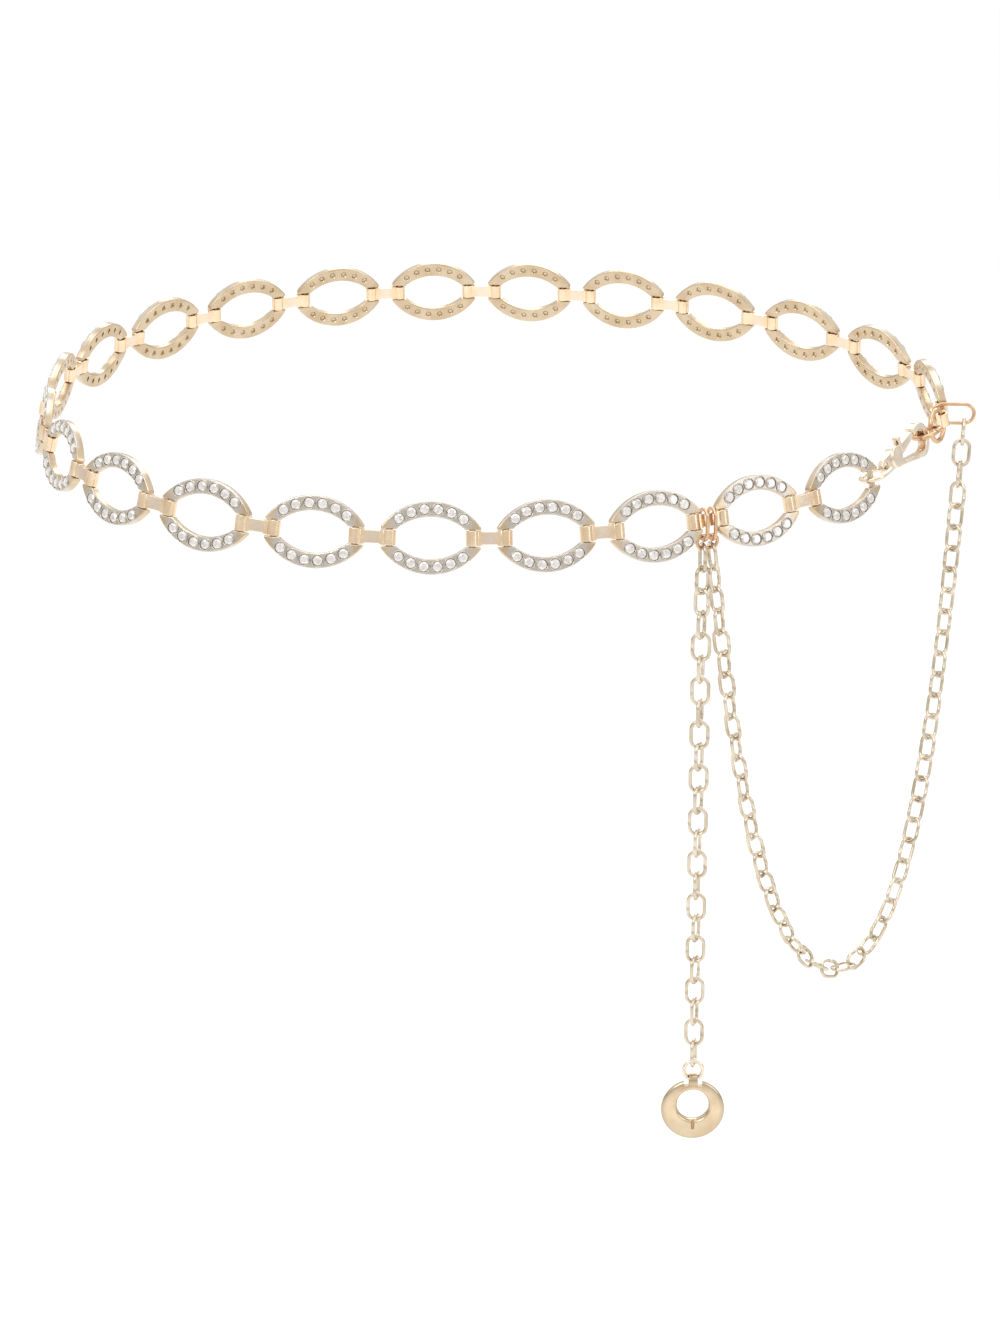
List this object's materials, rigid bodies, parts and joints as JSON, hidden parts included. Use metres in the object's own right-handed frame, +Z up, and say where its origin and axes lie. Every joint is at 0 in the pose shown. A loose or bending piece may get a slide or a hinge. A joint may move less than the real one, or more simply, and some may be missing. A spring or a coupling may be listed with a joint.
{
  "type": "waist chain",
  "caption": "Waist chain of pierced oval links set with small round stones, closed by a lobster clasp, with a draped side chain and a hanging tail that ends in a ring pendant.",
  "frame": {"origin": "middle of the loop as it is worn round a waist", "axes": "+X to the right of the front, along the longest extent; +Y to the back; +Z up"},
  "size_m": [0.2652, 0.2009, 0.2166],
  "materials": {
    "pale_gold": "polished pale gold plate",
    "warm_gold": "polished warm gold plate",
    "copper": "bright copper-toned wire",
    "rhinestone": "clear faceted stone with a silver-grey foil back"
  },
  "bodies": {
    "belt": {"link_01": "pale_gold", "link_02": "pale_gold", "link_03": "pale_gold", "link_04": "pale_gold", "link_05": "pale_gold", "link_06": "pale_gold", "link_07": "pale_gold", "link_08": "pale_gold", "link_09": "pale_gold", "link_10": "pale_gold", "link_11": "pale_gold", "link_12": "pale_gold", "link_13": "pale_gold", "link_14": "pale_gold", "link_15": "pale_gold", "link_16": "pale_gold", "link_17": "pale_gold", "link_18": "pale_gold", "link_19": "pale_gold", "link_20": "pale_gold", "link_21": "pale_gold", "link_22": "pale_gold", "band_01": "pale_gold", "band_02": "pale_gold", "band_03": "pale_gold", "band_04": "pale_gold", "band_05": "pale_gold", "band_06": "pale_gold", "band_07": "pale_gold", "band_08": "pale_gold", "band_09": "pale_gold", "band_10": "pale_gold", "band_11": "pale_gold", "band_12": "pale_gold", "band_13": "pale_gold", "band_14": "pale_gold", "band_15": "pale_gold", "band_16": "pale_gold", "band_17": "pale_gold", "band_18": "pale_gold", "band_19": "pale_gold", "band_20": "pale_gold", "band_21": "pale_gold", "band_22": "pale_gold", "clasp_ring": "warm_gold", "clasp_body": "warm_gold", "hook_ring": "warm_gold", "end_ring": "warm_gold", "hanger": "copper", "end_hanger": "copper", "tail_chain": "warm_gold", "drape_front": "warm_gold", "drape_back": "warm_gold", "pendant_ring": "warm_gold"},
    "lever": {"clasp_lever": "warm_gold"},
    "pendant": {"pendant": "warm_gold"}
  },
  "joints": [
    {"name": "lever_open", "type": "hinge", "parent": "belt", "child": "lever", "pos_m": [0.11138, -0.03397, -0.0083], "axis": [-0.8242, 0.5278, -0.2053], "range_deg": [0, 20], "stiffness_Nm_per_rad": 0.01},
    {"name": "pendant_swing", "type": "hinge", "parent": "belt", "child": "pendant", "pos_m": [0.05648, -0.07861, -0.17342], "axis": [1, 0, 0], "range_deg": [-35, 35]}
  ]
}
